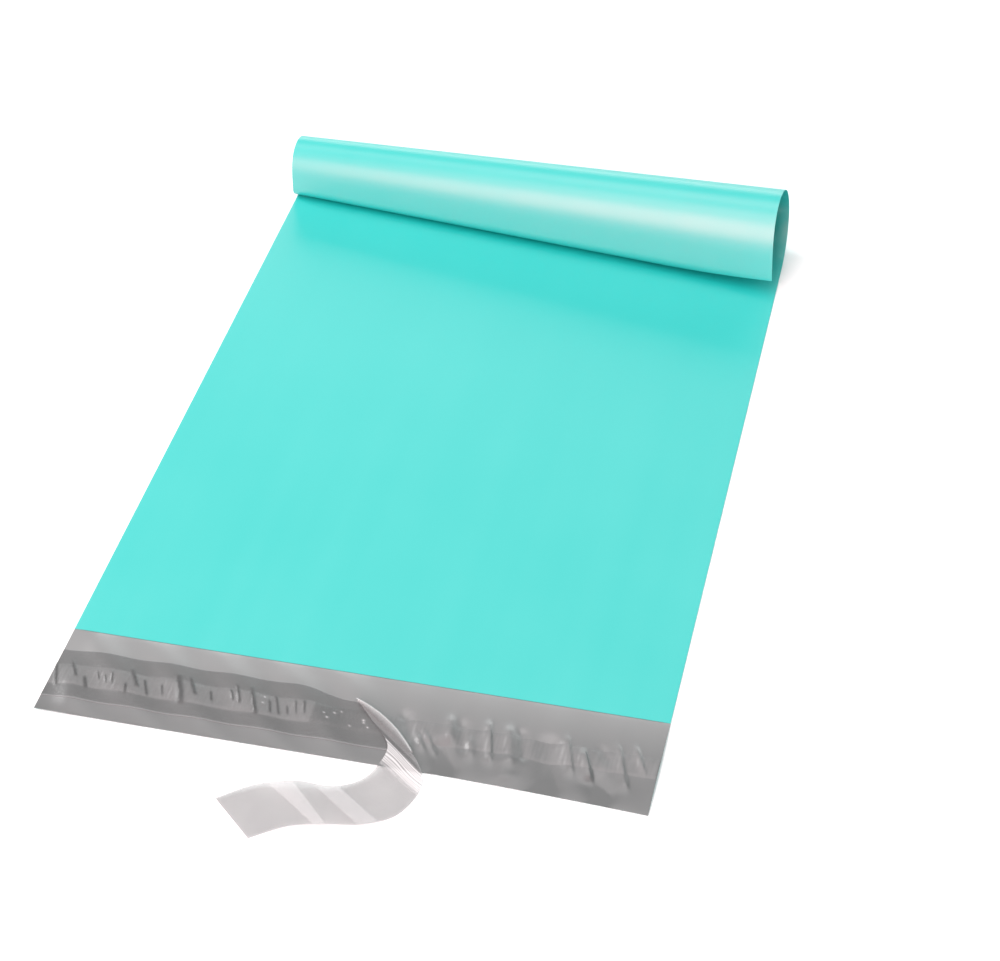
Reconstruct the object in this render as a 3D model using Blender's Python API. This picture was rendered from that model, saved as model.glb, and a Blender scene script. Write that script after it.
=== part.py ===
"""A self-seal poly mailer bag of co-extruded film, lying flat with its bottom end curled up and over.

Frame: the origin is the middle of the mouth line on the underside of the back panel. X runs along the
width, +Y towards the folded bottom, -Y towards the flap's free edge and +Z up. Sizes are in metres.
"""

import math

import bmesh
import bpy
from mathutils import Quaternion, Vector

# Bag
BAG_WIDTH = 0.254
BAG_DEPTH = 0.438
FLAP_DEPTH = 0.0495
FILM_GAUGE = 0.00006
POCKET_GAP = 0.0001
SIDE_WELD = 0.003
BOTTOM_CREASE = 0.0006
HALF_WIDTH = BAG_WIDTH / 2
BAG_THICKNESS = 2 * FILM_GAUGE + POCKET_GAP

# Curl of the bottom end: the film bends only about lines through one apex beside the bag
CURL_APEX = Vector((-0.5647, 0.3835, 0.0))
CURL_START = math.radians(-5.729)
CURL_TURN = math.radians(259.6)
CURL_EASE_IN = 0.0415
CURL_ROUND = 0.0876
CURL_EASE_OUT = 0.0454
TUCK_TIGHTNESS = 3.88
TUCK_TURN = math.radians(105)
TUCK_EASE = 0.006
INNER_TIGHTNESS = 0.45
CURL_STEP = 0.0005
CURL_SPAN = 0.32

# Closure
TOUCH_GAP = 0.0003
GLUE_FAR_EDGE = -0.0213
GLUE_NEAR_EDGE = -0.0337
GLUE_THICKNESS = 0.00005
LINER_GAUGE = 0.00005
GLUE_BASE = FILM_GAUGE + TOUCH_GAP
LINER_BASE = GLUE_BASE + GLUE_THICKNESS + TOUCH_GAP
PEEL_RADIUS = 0.0008

# Rulings of the peeled liner, each from its inner to its outer edge, from the peel line to the free end
PEEL_LINE = (Vector((-0.0040, -0.0130, 0)), Vector((0.0290, -0.0405, 0)))
PEELED_RULINGS = (
    (Vector((0.0060, -0.0240, 0.0024)), Vector((0.0335, -0.0462, 0.0024))),
    (Vector((0.0190, -0.0385, 0.0020)), Vector((0.0370, -0.0535, 0.0014))),
    (Vector((0.0180, -0.0490, 0.0012)), Vector((0.0365, -0.0620, 0.0003))),
    (Vector((0.0130, -0.0580, 0.0004)), Vector((0.0310, -0.0735, 0.0003))),
    (Vector((0.0030, -0.0640, 0.0010)), Vector((0.0200, -0.0810, 0.0010))),
    (Vector((-0.0120, -0.0655, 0.0022)), Vector((0.0060, -0.0845, 0.0014))),
    (Vector((-0.0270, -0.0700, 0.0009)), Vector((-0.0080, -0.0880, 0.0007))),
    (Vector((-0.0400, -0.0795, 0.0001)), Vector((-0.0214, -0.0968, 0.0001))),
)
LINER_ACROSS = 4
BONDED_STEPS = 8
BEND_STEPS = 6
PEELED_STEPS = 28

COLUMNS = 8
CURL_ROWS = 26
TUCK_ROWS = 16
TUCK_LEAD = 0.004


def clear_scene():
    """Removes every object that the scene starts with."""
    for existing in list(bpy.data.objects):
        bpy.data.objects.remove(existing, do_unlink=True)


def ease(value):
    """A smooth step from 0 to 1 as value goes from 0 to 1."""
    value = min(1.0, max(0.0, value))
    return value * value * (3 - 2 * value)


def curl_tightness(angle):
    """How hard the film bends at the line that leaves the apex at this angle past the curl's start."""
    full = CURL_TURN / (CURL_EASE_IN / 2 + CURL_ROUND + CURL_EASE_OUT / 2)
    straight_from = CURL_EASE_IN + CURL_ROUND + CURL_EASE_OUT
    tuck_ends = straight_from + TUCK_TURN / (full * TUCK_TIGHTNESS)
    outer = ease(angle / CURL_EASE_IN) * (1 - ease((angle - CURL_EASE_IN - CURL_ROUND) / CURL_EASE_OUT))
    inner = ease((angle - tuck_ends) / TUCK_EASE)
    tuck = ease((angle - straight_from) / TUCK_EASE) * (1 - inner)
    return full * (outer + TUCK_TIGHTNESS * tuck + INNER_TIGHTNESS * inner)


class ConicalCurl:
    """Maps the flat film to its curled shape without stretching it."""

    def __init__(self):
        along = Vector((math.cos(CURL_START), math.sin(CURL_START), 0))
        across = Vector((-along.y, along.x, 0))
        self.frames = [(along, across, 0.0)]
        turned = 0.0
        for step in range(round(CURL_SPAN / CURL_STEP)):
            tightness = curl_tightness((step + 0.5) * CURL_STEP)
            along, across = self.roll(along, across, tightness, CURL_STEP)
            turned += tightness * CURL_STEP
            self.frames.append((along, across, turned))

    @staticmethod
    def roll(along, across, tightness, angle):
        """The ruling and the direction across it, a small angle further round the apex."""
        spin = along.cross(across) + along * tightness
        turn = Quaternion(spin.normalized(), spin.length * angle)
        return turn @ along, turn @ across

    def place(self, x, y, height):
        """The place of the film's point (x, y), this high above its underside."""
        reach = Vector((x, y, 0)) - CURL_APEX
        angle = math.atan2(reach.y, reach.x) - CURL_START
        if angle <= 0:
            return Vector((x, y, height))
        index = int(angle / CURL_STEP)
        along, across, _ = self.frames[index]
        rest = angle - index * CURL_STEP
        along, across = self.roll(along, across, curl_tightness(angle - rest / 2), rest)
        return CURL_APEX + along * reach.length + along.cross(across) * height

    def angle_at_turn(self, turned):
        """The angle past the curl's start at which the film has turned this far."""
        return CURL_STEP * next(i for i, frame in enumerate(self.frames) if frame[2] >= turned)


def ruling_y(x, angle):
    """Where the line through the apex at this angle past the curl's start meets x, on the flat film."""
    return CURL_APEX.y + (x - CURL_APEX.x) * math.tan(CURL_START + angle)


def film_rows(curl):
    """The film's rows from the flap's edge to the bottom crease, each as a function that gives y from x."""
    level_rows = (-FLAP_DEPTH, 0.0, BAG_DEPTH * 0.25, BAG_DEPTH * 0.5)
    rows = [lambda x, y=y: y for y in level_rows]
    last_reach = Vector((HALF_WIDTH, BAG_DEPTH - TUCK_LEAD, 0)) - CURL_APEX
    last_angle = math.atan2(last_reach.y, last_reach.x) - CURL_START
    angles = [curl.angle_at_turn(CURL_TURN * row / CURL_ROWS) for row in range(CURL_ROWS)]
    angles = [angle for angle in angles if angle < last_angle] + [last_angle]
    rows += [lambda x, angle=angle: ruling_y(x, angle) for angle in angles]
    inner_edge = BAG_DEPTH - BOTTOM_CREASE
    for row in range(1, TUCK_ROWS + 1):
        share = row / TUCK_ROWS
        rows.append(lambda x, share=share: ruling_y(x, last_angle) * (1 - share) + inner_edge * share)
    rows.append(lambda x: BAG_DEPTH)
    return rows


def film_columns():
    """The film's columns from left to right, with one at the inner edge of each side weld."""
    inner = HALF_WIDTH - SIDE_WELD
    inside = [-inner + 2 * inner * column / COLUMNS for column in range(COLUMNS + 1)]
    return [-HALF_WIDTH, *inside, HALF_WIDTH]


class Shell:
    """Collects the triangles of one closed body. A vertex is named by the key that asks for it."""

    def __init__(self):
        self.mesh = bmesh.new()
        self.points = {}

    def point(self, key, place):
        """The vertex with this key, made at its place the first time."""
        if key not in self.points:
            self.points[key] = self.mesh.verts.new(place)
        return self.points[key]

    def face(self, corners):
        """A face through these vertices, in order."""
        self.mesh.faces.new(corners)

    def quad(self, a, b, c, d, flip=False):
        """Two triangles that share the diagonal from a to c."""
        for corners in ((a, b, c), (a, c, d)):
            self.face(reversed(corners) if flip else corners)

    def finish(self, name, material):
        """Turns the faces outwards and links the finished object."""
        bmesh.ops.recalc_face_normals(self.mesh, faces=self.mesh.faces)
        data = bpy.data.meshes.new(name)
        self.mesh.to_mesh(data)
        self.mesh.free()
        data.materials.append(material)
        made = bpy.data.objects.new(name, data)
        bpy.context.scene.collection.objects.link(made)
        return made


def plastic(name, colour, roughness):
    """A Principled material of one colour."""
    material = bpy.data.materials.new(name)
    material.use_nodes = True
    shader = material.node_tree.nodes["Principled BSDF"]
    shader.inputs["Base Color"].default_value = (*colour, 1)
    shader.inputs["Roughness"].default_value = roughness
    shader.inputs["Metallic"].default_value = 0.0
    return material


def build_film_bag():
    """One film: the back panel runs on as the flap, the front panel is folded over it and welded at both sides.

    The pocket between the panels is open at the mouth and ends at the bottom crease.
    """
    curl = ConicalCurl()
    rows = film_rows(curl)
    columns = film_columns()
    under, floor, ceiling, top = 0.0, FILM_GAUGE, FILM_GAUGE + POCKET_GAP, BAG_THICKNESS
    mouth, crease, last_row = 1, len(rows) - 2, len(rows) - 1
    first_inside, last_inside, last_column = 1, len(columns) - 2, len(columns) - 1
    shell = Shell()

    def corner(column, row, height):
        x = columns[column]
        return shell.point((column, row, height), curl.place(x, rows[row](x), height))

    def layer(column_range, row_range, height, flip):
        for column in column_range:
            for row in row_range:
                ring = ((column, row), (column + 1, row), (column + 1, row + 1), (column, row + 1))
                shell.quad(*[corner(*place, height) for place in ring], flip=flip)

    def wall(places, low, high):
        for here, there in zip(places, places[1:]):
            shell.quad(corner(*here, low), corner(*there, low), corner(*there, high), corner(*here, high))

    inside = range(first_inside, last_inside)
    layer(range(last_column), range(last_row), under, flip=True)
    layer(range(last_column), range(mouth, last_row), top, flip=False)
    layer(range(last_column), range(mouth), floor, flip=False)
    layer(inside, range(mouth, crease), floor, flip=False)
    layer(inside, range(mouth, crease), ceiling, flip=True)

    across = [(column, 0) for column in range(last_column + 1)]
    wall(across, under, floor)
    wall([(column, last_row) for column, _ in across], under, top)
    wall([(column, mouth) for column in range(first_inside, last_inside + 1)], ceiling, top)
    wall([(column, crease) for column in range(first_inside, last_inside + 1)], floor, ceiling)
    for side in (first_inside, last_inside):
        wall([(side, row) for row in range(mouth, crease + 1)], floor, ceiling)
    for side, weld in ((0, first_inside), (last_column, last_inside)):
        wall([(side, 0), (side, mouth)], under, floor)
        wall([(side, row) for row in range(mouth + 1, last_row + 1)], under, top)
        edge = [corner(side, mouth, height) for height in (under, floor, top)]
        shell.face([*edge, corner(side, mouth + 1, top), corner(side, mouth + 1, under)])
        step = [corner(weld, mouth, height) for height in (top, ceiling, floor)]
        shell.face([edge[1], edge[2], *step])
    return shell.finish("film_bag", plastic("teal_film", (0.10, 0.79, 0.72), 0.4))


def build_glue_strip():
    """The band of pressure-sensitive glue along the flap."""
    width, depth = BAG_WIDTH, GLUE_FAR_EDGE - GLUE_NEAR_EDGE
    bpy.ops.mesh.primitive_cube_add(
        size=1,
        location=(0, (GLUE_FAR_EDGE + GLUE_NEAR_EDGE) / 2, GLUE_BASE + GLUE_THICKNESS / 2),
        scale=(width, depth, GLUE_THICKNESS),
    )
    strip = bpy.context.object
    strip.name = "glue_strip"
    strip.data.materials.append(plastic("clear_glue", (0.32, 0.32, 0.32), 0.15))
    return strip


def smooth_through(places, share):
    """The point at this share of the way along a Catmull-Rom curve through the places."""
    reach = share * (len(places) - 1)
    index = min(int(reach), len(places) - 2)
    t = reach - index
    before, start = places[max(index - 1, 0)], places[index]
    end, after = places[index + 1], places[min(index + 2, len(places) - 1)]
    return 0.5 * (
        2 * start
        + (end - before) * t
        + (2 * before - 5 * start + 4 * end - after) * t**2
        + (3 * start - before - 3 * end + after) * t**3
    )


def liner_rulings():
    """The liner's cross lines from its bonded left end, round the peel and out to its free end.

    Each is its far and near edge point on the face that was against the glue, and the way to the other face.
    """
    up = Vector((0, 0, 1))
    level = Vector((0, 0, LINER_BASE))
    rulings = []
    for step in range(BONDED_STEPS + 1):
        share = step / BONDED_STEPS
        ends = [
            Vector((-HALF_WIDTH + (end.x + HALF_WIDTH) * share, end.y, 0)) + level for end in PEEL_LINE
        ]
        rulings.append((*ends, up))
    line = (PEEL_LINE[1] - PEEL_LINE[0]).normalized()
    outward = up.cross(line)
    outward *= 1 if outward.x > 0 else -1
    for step in range(1, BEND_STEPS + 1):
        bend = math.pi * step / BEND_STEPS
        shift = outward * (math.sin(bend) * PEEL_RADIUS) + up * ((1 - math.cos(bend)) * PEEL_RADIUS)
        way = -(outward * math.sin(bend)) + up * math.cos(bend)
        rulings.append((*[end + level + shift for end in PEEL_LINE], way))
    folded = [end + level + up * 2 * PEEL_RADIUS for end in PEEL_LINE]
    edges = [[folded[side], *[ruling[side] for ruling in PEELED_RULINGS]] for side in (0, 1)]
    for step in range(1, PEELED_STEPS + 1):
        inner, outer = [smooth_through(edge, step / PEELED_STEPS) for edge in edges]
        rulings.append((inner, outer, -up))
    return rulings


def build_release_liner():
    """The liner strip: still on the glue at the left, peeled back from the right and lying on the floor."""
    rulings = liner_rulings()
    shell = Shell()

    def corner(row, column, side):
        far, near, way = rulings[row]
        on_face = far.lerp(near, column / LINER_ACROSS)
        return shell.point((row, column, side), on_face + way * (LINER_GAUGE * side))

    last = len(rulings) - 1
    for row in range(last):
        for column in range(LINER_ACROSS):
            ring = ((row, column), (row + 1, column), (row + 1, column + 1), (row, column + 1))
            for side in (0, 1):
                shell.quad(*[corner(*place, side) for place in ring], flip=side == 1)
        for column in (0, LINER_ACROSS):
            shell.quad(*[corner(row + a, column, b) for a, b in ((0, 0), (1, 0), (1, 1), (0, 1))])
    for row in (0, last):
        for column in range(LINER_ACROSS):
            shell.quad(*[corner(row, column + a, b) for a, b in ((0, 0), (1, 0), (1, 1), (0, 1))])
    return shell.finish("release_liner", plastic("clear_liner", (0.62, 0.62, 0.62), 0.2))


def main():
    """Builds the three pieces."""
    clear_scene()
    build_film_bag()
    build_glue_strip()
    build_release_liner()


main()
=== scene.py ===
"""Looks of a self-seal poly mailer bag that lies flat with its bottom end curled up and over.

Everything is in metres in the CAD model's frame: the origin is the middle of the mouth line on
the underside of the back panel, +X runs to the right across the width, +Y from the mouth to the
folded bottom, and +Z up.
"""

import logging
import math
from collections.abc import Callable
from dataclasses import dataclass, field
from enum import Enum

import bmesh
import bpy
import numpy as np
from bmesh.types import BMVert
from bpy.types import Material, Node, NodeSocket, Object, ShaderNodeTree
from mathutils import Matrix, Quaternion, Vector


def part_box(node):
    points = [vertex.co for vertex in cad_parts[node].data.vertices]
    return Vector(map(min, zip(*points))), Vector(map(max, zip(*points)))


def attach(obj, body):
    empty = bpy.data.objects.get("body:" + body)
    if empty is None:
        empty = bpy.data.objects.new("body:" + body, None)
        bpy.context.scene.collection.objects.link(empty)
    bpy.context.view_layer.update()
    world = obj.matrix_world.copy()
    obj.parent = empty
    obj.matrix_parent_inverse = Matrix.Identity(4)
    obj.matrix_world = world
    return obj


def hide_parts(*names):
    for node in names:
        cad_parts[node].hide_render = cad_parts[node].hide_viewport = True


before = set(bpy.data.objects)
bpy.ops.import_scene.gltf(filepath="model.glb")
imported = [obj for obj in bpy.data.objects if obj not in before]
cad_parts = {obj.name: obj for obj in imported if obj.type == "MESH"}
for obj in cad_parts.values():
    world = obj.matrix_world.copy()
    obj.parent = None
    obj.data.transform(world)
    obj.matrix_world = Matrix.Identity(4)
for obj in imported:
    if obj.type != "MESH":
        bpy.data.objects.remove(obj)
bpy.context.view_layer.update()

Colour = tuple[float, float, float]
Array = np.ndarray

LOG = logging.getLogger("poly_mailer")
MM = 0.001
BAG_LOW, BAG_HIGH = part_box("film_bag")
GLUE_LOW, GLUE_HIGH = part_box("glue_strip")
HALF_WIDTH = BAG_HIGH[0]
FLAP_DEPTH = -BAG_LOW[1]
FILM_GAUGE = 0.00006
SHARP_ANGLE = math.radians(50)
# How much of the film's relief comes from die lines, and from lines and grain together
LINE_SHARE, FINE_SHARE = 0.4, 0.3


class Side(Enum):
    """Which face of the film a patch of mesh shows."""

    OUTSIDE = 0
    INSIDE = 1


def ease(value: Array | float) -> Array | float:
    """A smooth step from 0 to 1 as value goes from 0 to 1."""
    held = np.clip(value, 0.0, 1.0)
    return held * held * (3 - 2 * held)


def bell(distance: Array, left: float, right: float) -> Array:
    """A bell curve that may fall off faster on one side.

    Args:
        distance: How far each point is from the top of the bell, with its sign.
        left: The bell's width where distance is negative.
        right: The bell's width where distance is positive.

    Returns:
        The height, 1 at the top.
    """
    width = np.where(distance < 0, left, right)
    return np.exp(-((distance / width) ** 2))


# ---- shader nodes


class NodeTree:
    """A short way to add and join shader nodes in one tree."""

    def __init__(self, tree: ShaderNodeTree) -> None:
        """Keeps the tree that the nodes go in."""
        self.tree = tree

    def add(self, kind: str, settings: dict[str, object] | None = None, **inputs: object) -> Node:
        """Adds one node.

        Args:
            kind: The node's type, without its ShaderNode prefix.
            settings: Values for the node's own properties.
            **inputs: Values or output sockets for its inputs, with _ for a space.

        Returns:
            The new node.
        """
        node = self.tree.nodes.new("ShaderNode" + kind)
        for name, value in (settings or {}).items():
            setattr(node, name, value)
        for name, value in inputs.items():
            self.feed(node.inputs[name.replace("_", " ")], value)
        return node

    def feed(self, socket: NodeSocket, value: object) -> None:
        """Joins an output to this input, or sets the input's own value.

        Args:
            socket: The input.
            value: An output socket, or the value to set.
        """
        if isinstance(value, NodeSocket):
            self.tree.links.new(value, socket)
        else:
            socket.default_value = value

    def math(self, operation: str, first: object, second: object = 0.0) -> NodeSocket:
        """Adds a Math node.

        Args:
            operation: What the node does.
            first: The first value or socket.
            second: The second value or socket.

        Returns:
            The result's socket.
        """
        node = self.tree.nodes.new("ShaderNodeMath")
        node.operation = operation
        self.feed(node.inputs[0], first)
        self.feed(node.inputs[1], second)
        return node.outputs[0]

    def noise(self, place: NodeSocket, scale: float, detail: float = 2.0) -> NodeSocket:
        """The value of a noise texture at this place."""
        return self.add("TexNoise", Vector=place, Scale=scale, Detail=detail).outputs["Fac"]

    def mix(
        self, share: object, first: object, second: object, kind: str = "RGBA"
    ) -> NodeSocket:
        """Adds a Mix node.

        Args:
            share: How much of second there is.
            first: The value or socket at share 0.
            second: The value or socket at share 1.
            kind: RGBA for colours, FLOAT for numbers.

        Returns:
            The blend's socket.
        """
        node = self.tree.nodes.new("ShaderNodeMix")
        node.data_type = kind
        sockets = {"RGBA": (0, 6, 7, 2), "FLOAT": (0, 2, 3, 0)}[kind]
        for index, value in zip(sockets[:3], (share, first, second)):
            self.feed(node.inputs[index], value)
        return node.outputs[sockets[3]]


def new_material(name: str) -> tuple[Material, NodeTree, Node]:
    """Starts a material made of nodes.

    Args:
        name: The material's name.

    Returns:
        The material, its node tree and its Principled shader.
    """
    material = bpy.data.materials.new(name)
    material.use_nodes = True
    return material, NodeTree(material.node_tree), material.node_tree.nodes["Principled BSDF"]


def build_film_texture() -> ShaderNodeTree:
    """The surface of blown film: faint die lines, soft gauge bands and a fine orange-peel grain.

    Returns:
        A group that takes a vector in metres and gives Relief and Tone, both round 0.5.
    """
    tree = bpy.data.node_groups.new("film_texture", "ShaderNodeTree")
    tree.interface.new_socket("Vector", in_out="INPUT", socket_type="NodeSocketVector")
    for name in ("Relief", "Tone"):
        tree.interface.new_socket(name, in_out="OUTPUT", socket_type="NodeSocketFloat")
    nodes = NodeTree(tree)
    given = tree.nodes.new("NodeGroupInput")
    result = tree.nodes.new("NodeGroupOutput")
    vector = given.outputs["Vector"]
    stretched = nodes.add("Mapping", Vector=vector, Scale=(1.0, 0.02, 1.0)).outputs[0]
    lines = nodes.noise(stretched, 900.0)
    bands = nodes.noise(stretched, 70.0, 1.0)
    grain = nodes.noise(vector, 2600.0)
    slow = nodes.noise(vector, 18.0)
    relief = nodes.mix(LINE_SHARE, grain, lines, "FLOAT")
    relief = nodes.mix(FINE_SHARE, slow, relief, "FLOAT")
    tone = nodes.mix(0.5, slow, bands, "FLOAT")
    nodes.feed(result.inputs["Relief"], relief)
    nodes.feed(result.inputs["Tone"], tone)
    return tree


@dataclass(frozen=True)
class FilmFinish:
    """Coloured polyethylene film with a satin skin, with optional painted shade towards the flap's
    free edge.
    """

    name: str
    dark: Colour
    light: Colour
    roughness: float
    ior: float = 2.05
    relief: float = 0.00001
    roughness_swing: float = 0.06
    # Painted shade: below 1, the colour darkens towards the flap's free edge, leaning darker to the
    # right
    painted_edge_shade: float = 1.0
    edge_lean: float = 0.05
    shade_from: float = -0.006
    shade_to: float = -0.046
    sheen_colour: Colour = (1.0, 1.0, 1.0)

    def build(self, texture: ShaderNodeTree) -> Material:
        """Makes the material.

        Args:
            texture: The film texture group.

        Returns:
            The material, which reads the film's own UV map in metres.
        """
        material, nodes, shader = new_material(self.name)
        place = nodes.add("UVMap", {"uv_map": "film"}).outputs[0]
        group = nodes.add("Group", {"node_tree": texture}, Vector=place)
        tone = group.outputs["Tone"]
        colour = nodes.mix(tone, (*self.dark, 1), (*self.light, 1))
        # Painted shade: blend the colour towards a darker copy near the flap's free edge, more so
        # to the right
        if self.painted_edge_shade < 1:
            edge = tuple(value * self.painted_edge_shade for value in self.light)
            apart = nodes.add("SeparateXYZ", Vector=place).outputs
            lean = nodes.math("MULTIPLY", apart["X"], self.edge_lean)
            slant = nodes.math("SUBTRACT", apart["Y"], lean)
            span = {"From_Min": self.shade_from, "From_Max": self.shade_to}
            near = nodes.add("MapRange", Value=slant, **span, To_Min=0.0, To_Max=1.0)
            colour = nodes.mix(near.outputs[0], colour, (*edge, 1))
        nodes.feed(shader.inputs["Base Color"], colour)
        low, high = self.roughness - self.roughness_swing, self.roughness + self.roughness_swing
        nodes.feed(shader.inputs["Roughness"], nodes.mix(tone, low, high, "FLOAT"))
        bump = nodes.add("Bump", Height=group.outputs["Relief"], Strength=1.0, Distance=self.relief)
        nodes.feed(shader.inputs["Normal"], bump.outputs[0])
        shader.inputs["IOR"].default_value = self.ior
        shader.inputs["Specular Tint"].default_value = (*self.sheen_colour, 1)
        return material


@dataclass(frozen=True)
class GlueFinish:
    """Clear tacky glue: smoother than the film, with paler streaks in it."""

    colour: Colour = (0.147, 0.148, 0.148)
    pale: Colour = (0.198, 0.200, 0.200)
    roughness: float = 0.22
    dull_roughness: float = 0.5
    relief: float = 0.00006
    relief_strength: float = 0.6

    def build(self) -> Material:
        """Makes the material.

        Returns:
            The material, which reads Object coordinates.
        """
        material, nodes, shader = new_material("tacky_glue")
        place = nodes.add("TexCoord").outputs["Object"]
        stretched = nodes.add("Mapping", Vector=place, Scale=(1.0, 0.25, 1.0)).outputs[0]
        streaks = nodes.noise(stretched, 420.0, 3.0)
        patches = nodes.noise(place, 90.0)
        share = nodes.math("MULTIPLY", streaks, patches)
        colour = nodes.mix(share, (*self.colour, 1), (*self.pale, 1))
        nodes.feed(shader.inputs["Base Color"], colour)
        roughness = nodes.mix(patches, self.roughness, self.dull_roughness, "FLOAT")
        nodes.feed(shader.inputs["Roughness"], roughness)
        depth = {"Strength": self.relief_strength, "Distance": self.relief}
        bump = nodes.add("Bump", Height=streaks, **depth)
        nodes.feed(shader.inputs["Normal"], bump.outputs[0])
        return material


@dataclass(frozen=True)
class LinerFinish:
    """Thin clear release film: pale where it is wetted onto the glue, painted dark as shade over
    its tunnels and nicks, and painted white as highlights.
    """

    free_colour: Colour = (0.170, 0.173, 0.173)
    bonded_colour: Colour = (0.262, 0.265, 0.265)
    # Painted highlight: the white laid on where the liner would catch the light
    painted_highlight_colour: Colour = (0.85, 0.85, 0.85)
    # Painted shade: the dark colour laid on the liner over its tunnels and nicks
    gap_shade_paint: Colour = (0.08, 0.08, 0.08)
    free_alpha: float = 0.29
    bonded_alpha: float = 0.30
    gap_alpha: float = 0.32
    painted_highlight_alpha: float = 0.55
    alpha_swing: float = 0.08
    roughness: float = 0.24
    dull_roughness: float = 0.42
    relief: float = 0.00010
    relief_strength: float = 0.6

    def build(self) -> Material:
        """Makes the material.

        Returns:
            The material, which reads the liner's bonded attribute, its painted shade attribute for
            the gaps and its painted highlight attribute.
        """
        material, nodes, shader = new_material("release_film")
        place = nodes.add("TexCoord").outputs["Object"]
        stretched = nodes.add("Mapping", Vector=place, Scale=(1.0, 0.2, 1.0)).outputs[0]
        streaks = nodes.noise(stretched, 500.0, 3.0)
        cloud = nodes.noise(place, 60.0)
        colour, alpha = (*self.free_colour, 1), self.free_alpha
        # Wetted blocks get their own paler colour; tunnels and nicks get painted shade; peel,
        # streaks and bubbles get painted highlights
        for name, tint, cover in (
            ("bonded", self.bonded_colour, self.bonded_alpha),
            ("painted_gap_shade", self.gap_shade_paint, self.gap_alpha),
            ("painted_highlight", self.painted_highlight_colour, self.painted_highlight_alpha),
        ):
            share = nodes.add("Attribute", {"attribute_name": name}).outputs["Fac"]
            colour = nodes.mix(share, colour, (*tint, 1))
            alpha = nodes.mix(share, alpha, cover, "FLOAT")
        nodes.feed(shader.inputs["Base Color"], colour)
        swing = nodes.math("MULTIPLY", nodes.math("SUBTRACT", cloud, 0.5), self.alpha_swing)
        nodes.feed(shader.inputs["Alpha"], nodes.math("ADD", alpha, swing))
        roughness = nodes.mix(cloud, self.roughness, self.dull_roughness, "FLOAT")
        nodes.feed(shader.inputs["Roughness"], roughness)
        depth = {"Strength": self.relief_strength, "Distance": self.relief}
        bump = nodes.add("Bump", Height=streaks, **depth)
        nodes.feed(shader.inputs["Normal"], bump.outputs[0])
        return material


@dataclass(frozen=True)
class FloorFinish:
    """Plain pale studio paper."""

    colour: Colour = (0.93, 0.93, 0.93)
    roughness: float = 0.85

    def build(self) -> Material:
        """Makes the material.

        Returns:
            The material, of one even colour.
        """
        material, _, shader = new_material("studio_paper")
        shader.inputs["Base Color"].default_value = (*self.colour, 1)
        shader.inputs["Roughness"].default_value = self.roughness
        shader.inputs["Specular IOR Level"].default_value = 0.0
        return material


# ---- film geometry


@dataclass(frozen=True)
class ConicalCurl:
    """The curled bottom end. The film bends only about lines through one apex beside the bag."""

    apex: Vector = Vector((-0.5647, 0.3835, 0.0))
    start: float = math.radians(-5.729)
    turn: float = math.radians(259.6)
    ease_in: float = 0.0415
    round_part: float = 0.0876
    ease_out: float = 0.0454
    tuck_tightness: float = 3.88
    tuck_turn: float = math.radians(105)
    tuck_ease: float = 0.006
    inner_tightness: float = 0.45
    step: float = 0.00025
    span: float = 0.32
    frames: list[tuple[Vector, Vector, float]] = field(default_factory=list)

    def __post_init__(self) -> None:
        """Works out the film's direction along and across each ruling."""
        along = Vector((math.cos(self.start), math.sin(self.start), 0))
        across = Vector((-along.y, along.x, 0))
        self.frames.append((along, across, 0.0))
        turned = 0.0
        for index in range(round(self.span / self.step)):
            tightness = self.tightness((index + 0.5) * self.step)
            along, across = self.roll(along, across, tightness, self.step)
            turned += tightness * self.step
            self.frames.append((along, across, turned))

    def tightness(self, angle: float) -> float:
        """How hard the film bends at one ruling.

        Args:
            angle: How far past the curl's start the ruling is.

        Returns:
            How fast the film turns there, for each radian round the apex.
        """
        full = self.turn / (self.ease_in / 2 + self.round_part + self.ease_out / 2)
        straight_from = self.ease_in + self.round_part + self.ease_out
        tuck_ends = straight_from + self.tuck_turn / (full * self.tuck_tightness)
        fade = 1 - ease((angle - self.ease_in - self.round_part) / self.ease_out)
        outer = ease(angle / self.ease_in) * fade
        inner = ease((angle - tuck_ends) / self.tuck_ease)
        tuck = ease((angle - straight_from) / self.tuck_ease) * (1 - inner)
        return float(full * (outer + self.tuck_tightness * tuck + self.inner_tightness * inner))

    @staticmethod
    def roll(
        along: Vector, across: Vector, tightness: float, angle: float
    ) -> tuple[Vector, Vector]:
        """Carries the film's directions a small angle further round the apex.

        Args:
            along: The direction along the ruling.
            across: The direction across it.
            tightness: How hard the film bends there.
            angle: The small angle.

        Returns:
            The two directions at the new ruling.
        """
        spin = along.cross(across) + along * tightness
        turn = Quaternion(spin.normalized(), spin.length * angle)
        return turn @ along, turn @ across

    def place(self, x: float, y: float, height: float) -> Vector:
        """Where a point of the flat film goes.

        Args:
            x: Its place across the width.
            y: Its distance from the mouth.
            height: Its height above the film's underside.

        Returns:
            The place in space.
        """
        reach = Vector((x, y, 0)) - self.apex
        angle = math.atan2(reach.y, reach.x) - self.start
        if angle <= 0:
            return Vector((x, y, height))
        index = int(angle / self.step)
        along, across, _ = self.frames[index]
        rest = angle - index * self.step
        along, across = self.roll(along, across, self.tightness(angle - rest / 2), rest)
        return self.apex + along * reach.length + along.cross(across) * height

    def ruling_y(self, x: float, angle: float) -> float:
        """Where the ruling at this angle past the curl's start crosses x, on the flat film."""
        return self.apex.y + (x - self.apex.x) * math.tan(self.start + angle)

    def angle_at_turn(self, turned: float) -> float:
        """The angle past the curl's start at which the film has turned this far."""
        passed = (index for index, entry in enumerate(self.frames) if entry[2] >= turned)
        return self.step * next(passed)


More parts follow.
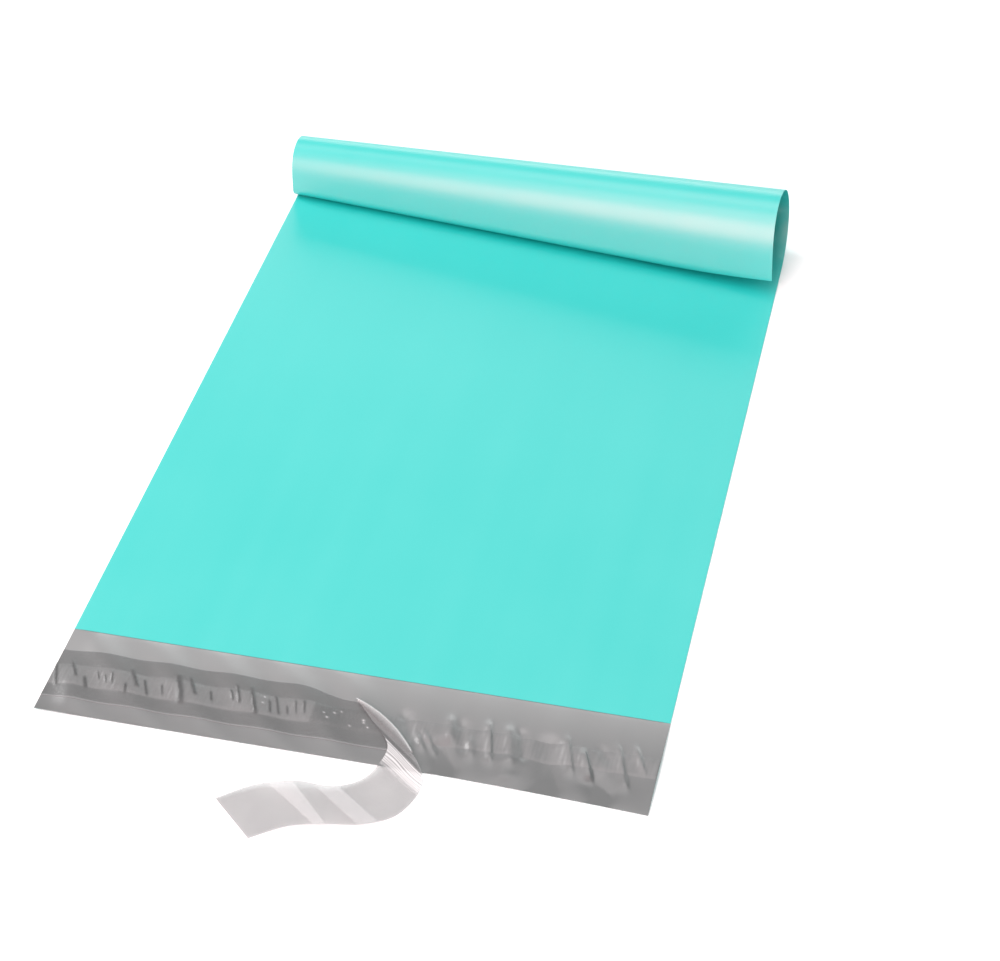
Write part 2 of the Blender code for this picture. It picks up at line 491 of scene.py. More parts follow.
@dataclass(frozen=True)
class Crease:
    """A ridge, or with a negative rise a dent, from one point of the flap to another, in mm."""

    start: tuple[float, float]
    end: tuple[float, float]
    rise: float
    left: float
    right: float
    soft: float = 1.2

    def height(self, x: Array, y: Array) -> Array:
        """The crease's height in metres at points x, y in metres."""
        return self.rise * MM * self.shape(x, y)

    def shape(self, x: Array, y: Array) -> Array:
        """How much of the crease each point has.

        Args:
            x: Places across the width, in metres.
            y: Places along the flap, in metres.

        Returns:
            The shares, from 0 to 1.
        """
        begin, finish = np.array(self.start) * MM, np.array(self.end) * MM
        run = finish - begin
        length = float(np.hypot(*run))
        along = ((x - begin[0]) * run[0] + (y - begin[1]) * run[1]) / length
        side = -((x - begin[0]) * run[1] - (y - begin[1]) * run[0]) / length
        beyond = np.maximum(np.maximum(-along, along - length), 0)
        fade = np.exp(-((beyond / (self.soft * MM)) ** 2))
        return bell(side, self.left * MM, self.right * MM) * fade


def crease_rows(*rows: tuple[float, ...]) -> tuple[Crease, ...]:
    """Creases from rows of start x and y, end x and y, rise, left, right and soft."""
    return tuple(Crease(row[:2], row[2:4], *row[4:]) for row in rows)


# Tunnels where the liner has let go of the glue, from the left end to the last wetted block
LINER_TUNNELS = crease_rows(
    (-127, -21.5, -123.2, -33, 0.35, 0.8, 0.6),
    (-119.7, -21, -116.4, -27.4, 0.35, 0.9, 0.6),
    (-112, -28.8, -110.2, -33, 0.28, 0.8, 0.6),
    (-93.8, -20.3, -89.6, -28, 0.4, 1, 0.6),
    (-87.2, -25.3, -84.5, -31.6, 0.25, 0.5, 0.5),
    (-94, -29.8, -93.2, -33, 0.2, 0.6, 0.5),
    (-74.3, -19.8, -69.3, -33, 0.45, 1.5, 1.2),
    (-68.9, -19.8, -65, -27.4, 0.35, 0.9, 0.6),
    (-48.9, -20.2, -45.9, -27.8, 0.32, 0.8, 0.5),
    (-42.8, -19.8, -37.8, -32.6, 0.5, 0.9, 0.7),
    (-32, -22, -28.7, -30.4, 0.3, 0.5, 0.4),
)

# Short dark nicks inside the wetted blocks
LINER_NICKS = crease_rows(
    (-107.4, -25.2, -106.4, -27.4, 0.18, 0.4, 0.3),
    (-103.8, -26.4, -103, -28.4, 0.18, 0.4, 0.3),
    (-101.2, -24.8, -100.2, -28.6, 0.22, 0.4, 0.3),
    (-79.4, -26.8, -78.4, -29.8, 0.16, 0.5, 0.4),
    (-58.8, -25.6, -57.6, -28.8, 0.16, 0.5, 0.4),
    (-50.6, -23.4, -49, -26.8, 0.25, 0.6, 0.4),
    (-33.8, -25.4, -32.2, -30.2, 0.2, 0.5, 0.3),
    (-26, -27, -25.2, -29.4, 0.18, 0.4, 0.3),
    (-23.2, -23.8, -21.9, -28.6, 0.22, 0.4, 0.3),
    (-19.8, -23, -18.5, -28, 0.24, 0.4, 0.4),
)

# Painted highlights on bubbles under the liner beside the peel: x, y and radius in millimetres
BUBBLE_HIGHLIGHTS = (
    (-6.5, -25.6, 0.45), (-8.8, -29.0, 0.45), (6.1, -27.2, 0.5), (6.5, -28.5, 0.4),
    (-4.0, -24.2, 0.35), (-10.6, -26.8, 0.35), (-36.6, -23.2, 0.35), (-36.4, -26.6, 0.35),
    (1.2, -31.0, 0.35), (8.6, -30.6, 0.4),
)

# Ridges and dents of the bare glued band, from the peel to the right edge
BARE_CREASES = crease_rows(
    (22.2, -21.5, 26, -30, -0.83, 2.4, 3.1, 4),
    (30.4, -31.8, 31.6, -33.8, 0.65, 1.7, 0.8, 3.6),
    (33.4, -30, 37.2, -35.6, 0.46, 1.4, 0.8, 3.6),
    (41, -20.5, 42, -27, 0.75, 2.4, 1.8, 4),
    (46, -21.5, 48.2, -31.5, -0.75, 2.4, 2.6, 4),
    (51, -30, 52, -34, 0.68, 2.4, 1.8, 4),
    (56.8, -19.6, 60.2, -34.4, 0.85, 2.5, 0.8, 3.6),
    (65.2, -21, 68.4, -34, 0.83, 2.6, 2, 4),
    (69.8, -20.4, 73, -31.6, -0.7, 1.6, 2.6, 3),
    (89.2, -20.6, 93, -33.8, 0.62, 3.1, 0.8, 3.6),
    (97.4, -27.2, 101, -36, 1.04, 3.1, 0.8, 3.6),
    (104, -23, 105.6, -25.5, -0.45, 2.2, 2.2, 4),
    (110.2, -20.8, 111.4, -23.8, 0.59, 1.6, 0.8, 3.6),
    (112.4, -28.5, 115.4, -36.8, 0.72, 2.5, 0.8, 3.6),
    (117.6, -20.6, 120.2, -26.8, 0.65, 1.7, 0.8, 3.6),
    (40, -34, 44, -44, -1.1, 4.5, 4.5, 4),
    (66, -37, 68, -43, 0.8, 4.5, 4.5, 4),
    (82, -24, 85, -44, -1.1, 6, 5, 5),
    (103, -39, 108, -45, -1, 5, 5, 4),
)


@dataclass(frozen=True)
class FlapRelief:
    """The height of the flap's underside: the shape that all three pieces share."""

    ripple_length: float = 0.0275
    ripple_height: float = 0.0011
    ripple_crest: float = -0.0890
    ripple_lean: float = -0.69
    ripple_from: float = -0.0390
    corner_lift: float = 0.0003
    corner_reach: float = 0.020
    belly_height: float = 0.0012
    belly_power: float = 0.8
    side_fade: float = 0.014
    bare_from: float = -0.010
    bare_fade: float = 0.030
    bare_loss: float = 0.75
    edge_inset: float = 0.0012
    swing_from: float = 0.040
    swing_width: float = 0.087
    swing_depth: float = 0.0030
    swing_power: float = 1.5

    def height(self, x: Array, y: Array) -> Array:
        """The height of the underside.

        Args:
            x: Places across the width.
            y: Places along the flap, 0 at the mouth and negative towards its free edge.

        Returns:
            The heights, none below the floor.
        """
        depth = np.clip(y / self.free_edge(x), 0, 1)
        belly = np.sin(np.pi * depth) ** self.belly_power
        crest = self.ripple_crest + self.ripple_lean * (y - self.ripple_from)
        wave = 0.5 + 0.5 * np.cos(2 * np.pi * (x - crest) / self.ripple_length)
        side = ease((x + HALF_WIDTH) / self.side_fade)
        glued = side * (1 - self.bare_loss * ease((x - self.bare_from) / self.bare_fade))
        ripples = self.ripple_height * belly * wave * glued
        corner = np.hypot((x + HALF_WIDTH), (y + FLAP_DEPTH)) / self.corner_reach
        lift = self.corner_lift * np.exp(-(corner**2)) * ease(depth * 4)
        base = self.belly_height * belly * side
        return np.maximum(base + ripples + lift + self.creases(x, y) * ease(depth * 5), 0.0)

    @staticmethod
    def creases(x: Array, y: Array) -> Array:
        """What the ridges and dents of the bare band add."""
        return sum(crease.height(x, y) for crease in BARE_CREASES)

    def free_edge(self, x: Array) -> Array:
        """Where the flap's free edge lies: it swings forward a little towards the right corner."""
        swing = np.clip((x - self.swing_from) / self.swing_width, 0, 1)
        return -FLAP_DEPTH + self.edge_inset - self.swing_depth * swing**self.swing_power


class Shell:
    """Collects the faces of one closed body. A vertex is named by the key that asks for it."""

    def __init__(self) -> None:
        """Starts an empty mesh with a UV map for the film's flat places."""
        self.mesh = bmesh.new()
        self.flat = self.mesh.loops.layers.uv.new("film")
        self.points: dict[tuple, BMVert] = {}
        self.places: dict[BMVert, tuple[float, float]] = {}

    def point(self, key: tuple, place: Vector, flat: tuple[float, float]) -> BMVert:
        """Finds a vertex, or makes it the first time.

        Args:
            key: The vertex's name.
            place: Where it goes in space.
            flat: Its place on the flat film.

        Returns:
            The vertex.
        """
        if key not in self.points:
            self.points[key] = self.mesh.verts.new(place)
            self.places[self.points[key]] = flat
        return self.points[key]

    def face(self, corners: list[BMVert], side: Side, flip: bool = False) -> None:
        """Adds a face.

        Args:
            corners: Its vertices in order.
            side: Which face of the film it shows.
            flip: Whether the order is turned round.
        """
        made = self.mesh.faces.new(corners[::-1] if flip else corners)
        made.material_index = side.value
        made.smooth = True
        for loop in made.loops:
            loop[self.flat].uv = self.places[loop.vert]

    def finish(self, name: str) -> Object:
        """Turns the faces outwards and links the finished object.

        Args:
            name: The object's name.

        Returns:
            The object.
        """
        bmesh.ops.recalc_face_normals(self.mesh, faces=self.mesh.faces)
        data = bpy.data.meshes.new(name)
        self.mesh.to_mesh(data)
        self.mesh.free()
        made = bpy.data.objects.new(name, data)
        bpy.context.scene.collection.objects.link(made)
        return made


@dataclass
class FilmBag:
    """The one film: back panel, flap, and the front panel folded over and welded at both sides."""

    depth: float = 0.438
    flat_share: float = 0.6
    flat_rows: int = 14
    pocket_gap: float = 0.0001
    side_weld: float = 0.003
    bottom_crease: float = 0.0006
    weld_press: float = 0.00008
    panel_columns: int = 31
    fine_columns: int = 12
    flap_rows: int = 70
    curl_rows: int = 150
    tuck_rows: int = 28
    tuck_lead: float = 0.004
    relief: FlapRelief = FlapRelief()
    curl: ConicalCurl = field(default_factory=ConicalCurl)

    def columns(self) -> tuple[list[float], list[int]]:
        """Spaces the columns across the width.

        Returns:
            The x of every fine column of the flap, and which of them run on along the panels.
        """
        inner = HALF_WIDTH - self.side_weld
        coarse = [-HALF_WIDTH, *np.linspace(-inner, inner, self.panel_columns + 1), HALF_WIDTH]
        fine, kept = [], []
        for here, there in zip(coarse, coarse[1:]):
            kept.append(len(fine))
            fine += list(np.linspace(here, there, self.fine_columns, endpoint=False))
        kept.append(len(fine))
        return [*fine, HALF_WIDTH], kept

    def panel_rows(self) -> list[Callable[[float], float]]:
        """Spaces the panels' rows from the mouth to the bottom crease.

        Returns:
            The rows, each as a function from x to y.
        """
        curl = self.curl
        flat_end = self.depth * self.flat_share
        rows = [lambda x, y=y: y for y in np.linspace(0, flat_end, self.flat_rows)]
        last_reach = Vector((HALF_WIDTH, self.depth - self.tuck_lead, 0)) - curl.apex
        last_angle = math.atan2(last_reach.y, last_reach.x) - curl.start
        turns = [curl.turn * row / self.curl_rows for row in range(self.curl_rows)]
        angles = [curl.angle_at_turn(turned) for turned in turns]
        angles = [angle for angle in angles if angle < last_angle] + [last_angle]
        rows += [lambda x, angle=angle: curl.ruling_y(x, angle) for angle in angles]
        rim = self.depth - self.bottom_crease
        for row in range(1, self.tuck_rows + 1):
            share = row / self.tuck_rows
            rows.append(
                lambda x, share=share: curl.ruling_y(x, last_angle) * (1 - share) + rim * share
            )
        rows.append(lambda x: self.depth)
        return rows

    def build(self, outside: Material, inside: Material) -> Object:
        """Models the bag and dresses it.

        Args:
            outside: The finish of the film's outer face.
            inside: The finish of its inner face.

        Returns:
            The finished piece.
        """
        shell = Shell()
        xs, kept = self.columns()
        rows = self.panel_rows()
        last_row, crease = len(rows) - 1, len(rows) - 2
        floor, ceiling = FILM_GAUGE, FILM_GAUGE + self.pocket_gap
        top = ceiling + FILM_GAUGE
        inner = kept[1:-1]

        def panel(column: int, row: int, height: float) -> BMVert:
            """A vertex of the panels.

            Args:
                column: Its column.
                row: Its row.
                height: Its height in the flat stack of film.

            Returns:
                The vertex, pressed down where the top layer is welded.
            """
            x = xs[column]
            y = float(rows[row](x))
            pressed = self.weld_press if height == top and column in (kept[0], kept[-1]) else 0.0
            key = (column, row, height)
            return shell.point(key, self.curl.place(x, y, height - pressed), (x, y))

        edge = self.relief.free_edge(np.array(xs))
        shares = np.linspace(0, 1, self.flap_rows + 1)
        flap_y = np.outer(shares, edge)
        flap_x = np.tile(np.array(xs), (len(shares), 1))
        flap_z = self.relief.height(flap_x, flap_y)

        def flap(column: int, row: int, height: float) -> BMVert:
            """The vertex of the flap in this column and row, this high above its underside."""
            x, y, z = xs[column], float(flap_y[row, column]), float(flap_z[row, column])
            return shell.point((column, -row, height), Vector((x, y, z + height)), (x, y))

        def wall(
            vertex: Callable, places: list[tuple[int, int]], low: float, high: float, side: Side
        ) -> None:
            """Closes the film between two heights along a run of places.

            Args:
                vertex: Finds a vertex of the flap or the panels.
                places: The columns and rows of the run.
                low: The lower height.
                high: The upper height.
                side: Which face of the film it shows.
            """
            for here, there in zip(places, places[1:]):
                ends = ((here, low), (there, low), (there, high), (here, high))
                shell.face([vertex(*place, height) for place, height in ends], side)

        for row in range(self.flap_rows):
            for column in range(len(xs) - 1):
                ring = ((column, row + 1), (column + 1, row + 1), (column + 1, row), (column, row))
                for corners in (ring[:3], (ring[0], ring[2], ring[3])):
                    shell.face([flap(*place, 0.0) for place in corners], Side.OUTSIDE, flip=True)
                    shell.face([flap(*place, floor) for place in corners], Side.INSIDE)
        tip = [(column, self.flap_rows) for column in range(len(xs))]
        sides = [[(column, row) for row in range(len(shares))] for column in (kept[0], kept[-1])]
        for places in (tip, *sides):
            wall(flap, places, 0.0, floor, Side.INSIDE)

        def layer(
            columns: list[int], last: int, height: float, side: Side, stitch: bool
        ) -> None:
            """Adds one face of film along the panels.

            Args:
                columns: The columns it joins.
                last: The row it ends at.
                height: Its height in the flat stack of film.
                side: Which face of the film it is.
                stitch: Whether its first row meets the flap's fine columns.
            """
            for here, there in zip(columns, columns[1:]):
                for row in range(last):
                    between = range(here, there + 1) if stitch and row == 0 else (here, there)
                    low = [panel(column, row, height) for column in between]
                    high = [panel(column, row + 1, height) for column in (there, here)]
                    shell.face([*low, *high], side)

        layer(kept, last_row, 0.0, Side.OUTSIDE, stitch=True)
        layer(kept, last_row, top, Side.OUTSIDE, stitch=False)
        layer(inner, crease, floor, Side.INSIDE, stitch=True)
        layer(inner, crease, ceiling, Side.INSIDE, stitch=False)

        wall(panel, [(column, last_row) for column in kept], 0.0, top, Side.OUTSIDE)
        wall(panel, [(column, 0) for column in inner], ceiling, top, Side.OUTSIDE)
        wall(panel, [(column, crease) for column in inner], floor, ceiling, Side.INSIDE)
        for column in (inner[0], inner[-1]):
            wall(panel, [(column, row) for row in range(crease + 1)], floor, ceiling, Side.INSIDE)
        for column, weld in ((kept[0], inner[0]), (kept[-1], inner[-1])):
            wall(panel, [(column, row) for row in range(1, last_row + 1)], 0.0, top, Side.OUTSIDE)
            mouth = [panel(column, 0, height) for height in (0.0, floor, top)]
            shell.face([*mouth, panel(column, 1, top), panel(column, 1, 0.0)], Side.OUTSIDE)
            between = sorted(range(min(column, weld), max(column, weld) + 1), reverse=weld < column)
            low = [panel(step, 0, floor) for step in between]
            shell.face([*low, panel(weld, 0, ceiling), panel(weld, 0, top), mouth[2]], Side.OUTSIDE)
        bag = shell.finish("mailer_film")
        for material in (outside, inside):
            bag.data.materials.append(material)
        bag.data.set_sharp_from_angle(angle=SHARP_ANGLE)
        return bag


# ---- glue and liner


def add_grid(name: str, columns: int, rows: int) -> Object:
    """A flat grid one metre square, to be shaped by moving its vertices.

    Args:
        name: The piece's name.
        columns: How many faces it has along X.
        rows: How many faces it has along Y.

    Returns:
        The grid, whose vertices run along X first.
    """
    bpy.ops.object.select_all(action="DESELECT")
    bpy.ops.mesh.primitive_grid_add(
        x_subdivisions=columns, y_subdivisions=rows, size=1, location=(0, 0, 0)
    )
    grid = bpy.context.object
    grid.name = name
    grid.data.name = name
    return grid


def thicken(piece: Object, gauge: float) -> None:
    """Gives a sheet its thickness on the side away from its normals, and smooth shading.

    Args:
        piece: The sheet.
        gauge: The thickness.
    """
    bpy.context.view_layer.objects.active = piece
    piece.select_set(True)
    wall = piece.modifiers.new("gauge", "SOLIDIFY")
    wall.thickness = gauge
    wall.offset = -1.0
    bpy.ops.object.modifier_apply(modifier=wall.name)
    bpy.ops.object.shade_smooth_by_angle(angle=SHARP_ANGLE)
    piece.select_set(False)


def move_vertices(piece: Object, places: Array) -> None:
    """Puts the vertices of a piece at these places, one row each."""
    piece.data.vertices.foreach_set("co", places.astype(np.float32).ravel())
    piece.data.update()


def paint(piece: Object, name: str, values: Array) -> None:
    """Stores one number for each vertex under this attribute name."""
    layer = piece.data.attributes.new(name, "FLOAT", "POINT")
    layer.data.foreach_set("value", values.astype(np.float32).ravel())


@dataclass
class GlueStrip:
    """The glue along the flap: a thin gel that thins out at both edges and carries fine puckers."""

    far_edge: float = GLUE_HIGH[1]
    near_edge: float = GLUE_LOW[1]
    thickness: float = 0.00018
    edge_width: float = 0.0026
    side_inset: float = 0.0004
    pucker_rate: float = 3100.0
    wander_rate: float = 410.0
    slant_rates: tuple[float, float] = (1850.0, 260.0)
    pucker_base: float = 0.55
    pucker_swing: float = 0.45
    columns: int = 720
    rows: int = 34
    sunk: float = 0.00002
    relief: FlapRelief = FlapRelief()

    def swell(self, x: Array, y: Array) -> Array:
        """How thick the glue stands: full in the middle and feathered at its edges.

        Args:
            x: Places across the width.
            y: Places along the flap.

        Returns:
            The thickness.
        """
        inset = np.minimum(self.far_edge - y, y - self.near_edge)
        fullness = ease(inset / self.edge_width)
        fine = np.sin(x * self.pucker_rate + 2.0 * np.sin(x * self.wander_rate))
        slanted = np.sin(x * self.slant_rates[0] - y * self.slant_rates[1])
        pucker = 0.5 + 0.25 * fine + 0.25 * slanted
        return self.thickness * fullness * (self.pucker_base + self.pucker_swing * pucker)

    def build(self, finish: Material) -> Object:
        """Models the strip and dresses it.

        Args:
            finish: The glue's material.

        Returns:
            The finished piece.
        """
        strip = add_grid("glue_band", self.columns, self.rows)
        reach = HALF_WIDTH - self.side_inset
        x = np.linspace(-reach, reach, self.columns + 1)
        y = np.linspace(self.near_edge, self.far_edge, self.rows + 1)
        x, y = np.meshgrid(x, y)
        height = self.relief.height(x, y) + FILM_GAUGE + self.swell(x, y) - self.sunk
        move_vertices(strip, np.stack([x, y, height], axis=-1).reshape(-1, 3))
        thicken(strip, self.sunk)
        strip.data.materials.append(finish)
        return strip


@dataclass
class ReleaseLiner:
    """The clear film over the glue: bonded at the left, turned back at the peel, then free."""

    far_edge: float = -0.0130
    near_edge: float = -0.0405
    gauge: float = 0.00005
    rise: float = 0.00012
    peel_radius: float = 0.0010
    peel_line: tuple[Vector, Vector] = (Vector((0.0004, -0.0175, 0)), Vector((0.0290, -0.0405, 0)))
    peel_bulge: float = 0.0025
    dip_from: float = 0.80
    dip_length: float = 0.20
    settle_rate: float = 12.0
    bonded_end: float = -0.0147
    wet_edge: float = 0.0008
    wet_end: float = 0.001
    gap_gain: float = 1.25
    columns_bonded: int = 290
    columns_bend: int = 14
    columns_free: int = 190
    rows: int = 54
    # Offset, width and strength of the painted highlight lines along the peel, as shares of the
    # free part
    peel_lines: tuple[tuple[float, ...], ...] = ((0.036, 0.024, 1.0), (0.004, 0.005, 0.7))
    streak_rise: tuple[float, float] = (0.20, 0.03)
    streak_fall: tuple[float, float] = (0.33, 0.05)
    # Painted highlight bands: where each slanting band begins, that line's lean, where it ends, and
    # that line's lean
    slant_bands: tuple[tuple[float, ...], ...] = (
        (0.600, 0.035, 0.690, 0.050),
        (0.755, 0.010, 0.835, 0.045),
    )
    # Strengths of the painted highlights and painted light, and the width of the painted edge line
    slant_painted_highlight: float = 0.40
    lens_span: tuple[float, float] = (-0.010, 0.150)
    lens_painted_light: float = 0.14
    edge_painted_highlight: float = 0.35
    edge_width: float = 0.018
    relief: FlapRelief = FlapRelief()
    glue: GlueStrip = field(default_factory=GlueStrip)

    def free_rulings(self) -> tuple[tuple[Vector, Vector], ...]:
        """Lays out the free part's cross lines.

        Returns:
            The lines from the peel to the liner's end, each from inner to outer edge.
        """
        rows = (
            ((0.0090, -0.0265, 0.0030), (0.0335, -0.0462, 0.0026)),
            ((0.0190, -0.0385, 0.0026), (0.0370, -0.0535, 0.0016)),
            ((0.0180, -0.0490, 0.0014), (0.0365, -0.0620, 0.0003)),
            ((0.0130, -0.0580, 0.0005), (0.0310, -0.0735, 0.0003)),
            ((0.0030, -0.0640, 0.0010), (0.0200, -0.0810, 0.0010)),
            ((-0.0120, -0.0655, 0.0022), (0.0060, -0.0845, 0.0014)),
            ((-0.0270, -0.0700, 0.0009), (-0.0080, -0.0880, 0.0007)),
            ((-0.0400, -0.0795, 0.0001), (-0.0214, -0.0968, 0.0001)),
        )
        return tuple((Vector(inner), Vector(outer)) for inner, outer in rows)

    @staticmethod
    def smooth_through(places: list[Vector], share: float) -> Vector:
        """A point of the Catmull-Rom curve through some places.

        Args:
            places: The places.
            share: How far along the curve the point is, from 0 to 1.

        Returns:
            The point.
        """
        reach = share * (len(places) - 1)
        index = min(int(reach), len(places) - 2)
        t = reach - index
        before, start = places[max(index - 1, 0)], places[index]
        end, after = places[index + 1], places[min(index + 2, len(places) - 1)]
        return 0.5 * (
            2 * start
            + (end - before) * t
            + (2 * before - 5 * start + 4 * end - after) * t**2
            + (3 * start - before - 3 * end + after) * t**3
        )

    def bonded_height(self, x: Array, y: Array) -> Array:
        """The height of the liner's underside where it lies on the flap.

        Args:
            x: Places across the width.
            y: Places along the flap.

        Returns:
            The heights.
        """
        over = self.relief.height(x, y) + FILM_GAUGE + self.glue.swell(x, y) + self.rise
        lift = sum(crease.height(x, y) for crease in (*LINER_TUNNELS, *LINER_NICKS))
        return over + lift

    def wetted(self, x: Array, y: Array) -> Array:
        """How well the liner is stuck to the glue, from 0 to 1.

        Args:
            x: Places across the width.
            y: Places along the flap.

        Returns:
            1 in the wetted blocks and 0 in tunnels, nicks and outside the glue.
        """
        inset = np.minimum(self.glue.far_edge - y, y - self.glue.near_edge)
        block = ease(inset / self.wet_edge) * ease((self.bonded_end - x) / self.wet_end)
        return block * (1 - self.gaps(x, y))

    def gaps(self, x: Array, y: Array) -> Array:
        """Where the liner has let go of the glue, from 0 to 1; this is also the mask of the painted
        shade over tunnels and nicks.
        """
        loose = sum(crease.shape(x, y) for crease in (*LINER_TUNNELS, *LINER_NICKS))
        return np.clip(self.gap_gain * loose, 0, 1)

    def build(self, finish: Material) -> Object:
        """Models the liner and dresses it.

        Args:
            finish: The release film's material.

        Returns:
            The finished piece.
        """
        bonded = self.columns_bonded
        columns = bonded + self.columns_bend + self.columns_free
        liner = add_grid("liner_film", columns, self.rows)
        shares = np.linspace(0, 1, self.rows + 1)[:, None]
        far, near = (np.array(end) for end in self.peel_line)
        places = np.zeros((self.rows + 1, columns + 1, 3))

        line = (near - far) / np.linalg.norm(near - far)
        outward = np.array((-line[1], line[0], 0))
        outward *= math.copysign(1, outward[0])
        peel = far * (1 - shares) + near * shares
        peel = peel + outward * self.peel_bulge * 4 * shares * (1 - shares)
        for column in range(bonded + 1):
            reach = column / bonded
            places[:, column, 0] = -HALF_WIDTH + (peel[:, 0] + HALF_WIDTH) * reach
            level = self.far_edge * (1 - shares[:, 0]) + self.near_edge * shares[:, 0]
            dip = ease((reach - self.dip_from) / self.dip_length)
            places[:, column, 1] = level * (1 - dip) + peel[:, 1] * dip
        stuck = places[:, : bonded + 1]
        stuck[..., 2] = self.bonded_height(stuck[..., 0], stuck[..., 1])
        last = places[:, bonded].copy()
        for step in range(1, self.columns_bend + 1):
            bend = math.pi * step / self.columns_bend
            shift = outward * math.sin(bend) * self.peel_radius
            shift = shift + np.array((0, 0, 1 - math.cos(bend))) * self.peel_radius
            places[:, bonded + step] = last + shift
        folded = places[:, bonded + self.columns_bend]

        rulings = self.free_rulings()
        edges = [
            [Vector(folded[index]), *[ruling[side] for ruling in rulings]]
            for side, index in ((0, 0), (1, -1))
        ]
        for step in range(1, self.columns_free + 1):
            share = step / self.columns_free
            inner, outer = [np.array(self.smooth_through(edge, share)) for edge in edges]
            flat = inner * (1 - shares) + outer * shares
            settle = 1 - ease(share * self.settle_rate)
            straight = folded[0] * (1 - shares) + folded[-1] * shares
            flat[:, 2] += (folded - straight)[:, 2] * settle
            places[:, bonded + self.columns_bend + step] = flat

        move_vertices(liner, places.reshape(-1, 3))
        # The second attribute marks the tunnels and nicks, where the liner is painted dark as shade
        for name, measure in (("bonded", self.wetted), ("painted_gap_shade", self.gaps)):
            values = np.zeros(places.shape[:2])
            values[:, : bonded + 1] = measure(stuck[..., 0], stuck[..., 1])
            paint(liner, name, values)
        # Painted highlights: white at the peel, in streaks and bands, along the edge and on the
        # bubbles
        painted_highlight = self.painted_highlight(columns, shares)
        for speck in BUBBLE_HIGHLIGHTS:
            apart = np.hypot(stuck[..., 0] - speck[0] * MM, stuck[..., 1] - speck[1] * MM)
            painted_highlight[:, : bonded + 1] += np.exp(-((apart / (speck[2] * MM)) ** 2))
        paint(liner, "painted_highlight", np.clip(painted_highlight, 0, 1))
        thicken(liner, self.gauge)
        liner.data.materials.append(finish)
        return liner

    @staticmethod
    def band(
        share: Array, begin: Array | float, finish: Array | float, soft: float = 0.012
    ) -> Array:
        """1 between begin and finish, fading to 0 over the soft distance on both sides."""
        return ease((share - begin) / soft + 0.5) * (1 - ease((share - finish) / soft + 0.5))

    def painted_highlight(self, columns: int, shares: Array) -> Array:
        """Where highlights are painted on as white: at the peel, in streaks and bands, and at its
        edge, with faint painted light just past the peel.

        Args:
            columns: How many faces the liner has along its length.
            shares: The rows' shares of the width, as a column.

        Returns:
            The painted highlight of each vertex, from 0 to 1.
        """
        past = np.arange(columns + 1) - self.columns_bonded - self.columns_bend
        free = (past / self.columns_free)[None, :] + 0 * shares
        line = sum(
            strength * np.exp(-(((free + back) / width) ** 2))
            for back, width, strength in self.peel_lines
        )
        streak = 0.5 + 0.5 * np.sin(free * 420 + 1.5 * np.sin(shares * 7) + 2 * np.sin(free * 95))
        rise = ease((free - self.streak_rise[0]) / self.streak_rise[1])
        fall = 1 - ease((free - self.streak_fall[0]) / self.streak_fall[1])
        white = rise * fall * (0.35 + 0.65 * streak)
        slants = [
            self.slant_painted_highlight * self.band(free, begin - lean * shares, end - end_lean * shares)
            for begin, lean, end, end_lean in self.slant_bands
        ]
        lens = self.lens_painted_light * self.band(free, *self.lens_span)
        edge = np.exp(-(((1 - shares) / self.edge_width) ** 2)) * self.edge_painted_highlight + 0 * free
        return np.clip(np.maximum.reduce([line, white, *slants, edge, lens]), 0, 1)


# ---- studio


@dataclass(frozen=True)
class SoftBox:
    """A rectangular soft box that faces the middle of the bag."""

    name: str
    azimuth: float
    elevation: float
    distance: float
    size: tuple[float, float]
    radiance: float
    colour: Colour = (1.0, 1.0, 1.0)
    target: Vector = Vector((0, 0.2, 0))

    def build(self) -> None:
        """Adds the light. At azimuth 0 it stands before the flap, at -90 degrees to the left."""
        turn, rise = math.radians(self.azimuth), math.radians(self.elevation)
        flat = math.cos(rise)
        direction = Vector((math.sin(turn) * flat, -math.cos(turn) * flat, math.sin(rise)))
        bpy.ops.object.light_add(type="AREA", location=self.target + direction * self.distance)
        light = bpy.context.object
        light.name = self.name
        light.rotation_euler = direction.to_track_quat("Z", "Y").to_euler()
        light.data.shape = "RECTANGLE"
        light.data.size, light.data.size_y = self.size
        light.data.energy = self.radiance * math.pi * self.size[0] * self.size[1]
        light.data.color = self.colour


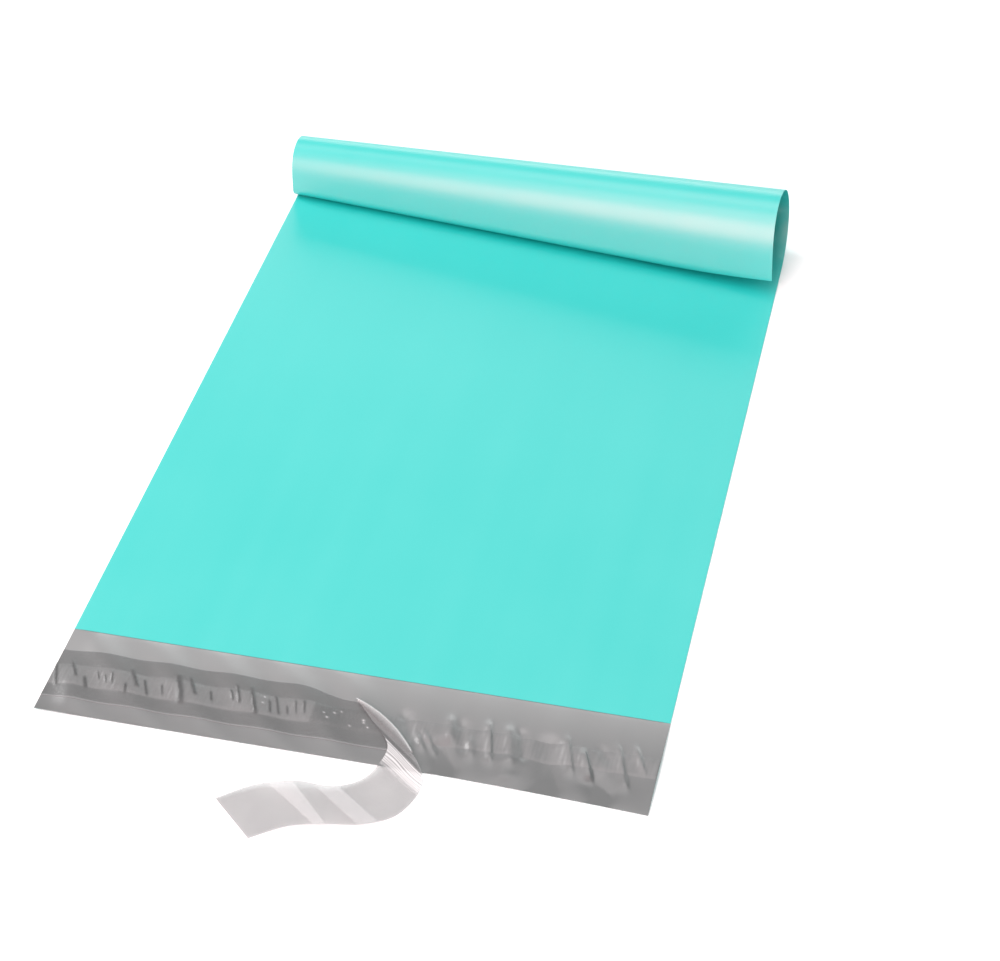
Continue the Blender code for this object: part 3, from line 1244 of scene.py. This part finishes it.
@dataclass
class Studio:
    """The pale floor, the soft light and the camera."""

    floor_size: float = 40.0
    floor_drop: float = 0.0003
    world_colour: Colour = (0.35, 0.47, 0.465)
    soft_boxes: tuple[SoftBox, ...] = (
        SoftBox("low_front_box", -14.0, 25.0, 2.5, (1.7, 1.9), 6.8, (1.0, 0.72, 0.74)),
        SoftBox("high_front_box", -14.0, 64.0, 2.5, (1.7, 1.4), 3.4, (1.0, 0.78, 0.80)),
        SoftBox("back_box", 180.0, 20.0, 3.0, (3.0, 1.0), 2.8),
        SoftBox("top_box", 180.0, 74.0, 2.0, (1.6, 0.9), 2.4),
        SoftBox("side_box", -112.0, 36.0, 2.5, (0.9, 0.9), 15.0),
    )
    camera_place: tuple[float, float, float] = (0.220342, -0.726435, 0.738689)
    camera_turn: float = math.radians(12.719)
    camera_tilt: float = math.radians(39.94)
    sensor: float = 36.0
    lens: float = 92.10
    clip_start: float = 0.01

    def build(self) -> None:
        """Adds the floor, the world, the lights and the camera."""
        self.add_floor()
        self.add_world()
        for box in self.soft_boxes:
            box.build()
        self.add_camera()
        bpy.context.scene.view_settings.view_transform = "Standard"

    def add_floor(self) -> None:
        """A sheet of pale paper just under the bag."""
        bpy.ops.object.select_all(action="DESELECT")
        bpy.ops.mesh.primitive_plane_add(size=self.floor_size, location=(0, 0, -self.floor_drop))
        floor = bpy.context.object
        floor.name = "studio_floor"
        floor.data.materials.append(FloorFinish().build())

    def add_world(self) -> None:
        """Even light from all round, a little green to balance the two front boxes."""
        world = bpy.data.worlds.new("studio_light")
        world.use_nodes = True
        background = world.node_tree.nodes["Background"]
        background.inputs["Color"].default_value = (*self.world_colour, 1)
        background.inputs["Strength"].default_value = 1.0
        bpy.context.scene.world = world

    def add_camera(self) -> None:
        """The camera, looking down on the bag from the front right."""
        bpy.ops.object.camera_add(
            location=self.camera_place,
            rotation=(math.pi / 2 - self.camera_tilt, 0, self.camera_turn),
        )
        camera = bpy.context.object
        camera.name = "view"
        camera.data.sensor_width = self.sensor
        camera.data.lens = self.lens
        camera.data.clip_start = self.clip_start
        bpy.context.scene.camera = camera


def main() -> None:
    """Builds the pieces in order, puts each under the root body and hides the CAD part it replaces.
    """
    logging.basicConfig(level=logging.INFO, format="%(message)s")
    texture = build_film_texture()
    light, dark = (0.006, 0.495, 0.457), (0.004, 0.470, 0.432)
    teal = FilmFinish("teal_film", dark, light, 0.36, sheen_colour=(1, 0.45, 0.45))
    light, dark = (0.218, 0.216, 0.216), (0.199, 0.197, 0.197)
    # The grey film carries painted shade that darkens it towards the flap's free edge
    grey = FilmFinish("grey_film", dark, light, 0.32, ior=1.75, painted_edge_shade=0.46)

    bag = FilmBag().build(teal.build(texture), grey.build(texture))
    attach(bag, "root")
    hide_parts("film_bag")
    LOG.info("film: %d faces", len(bag.data.polygons))

    strip = GlueStrip().build(GlueFinish().build())
    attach(strip, "root")
    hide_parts("glue_strip")
    LOG.info("glue: %d faces", len(strip.data.polygons))

    liner = ReleaseLiner().build(LinerFinish().build())
    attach(liner, "root")
    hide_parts("release_liner")
    LOG.info("liner: %d faces", len(liner.data.polygons))

    Studio().build()


if __name__ == "__main__":
    main()
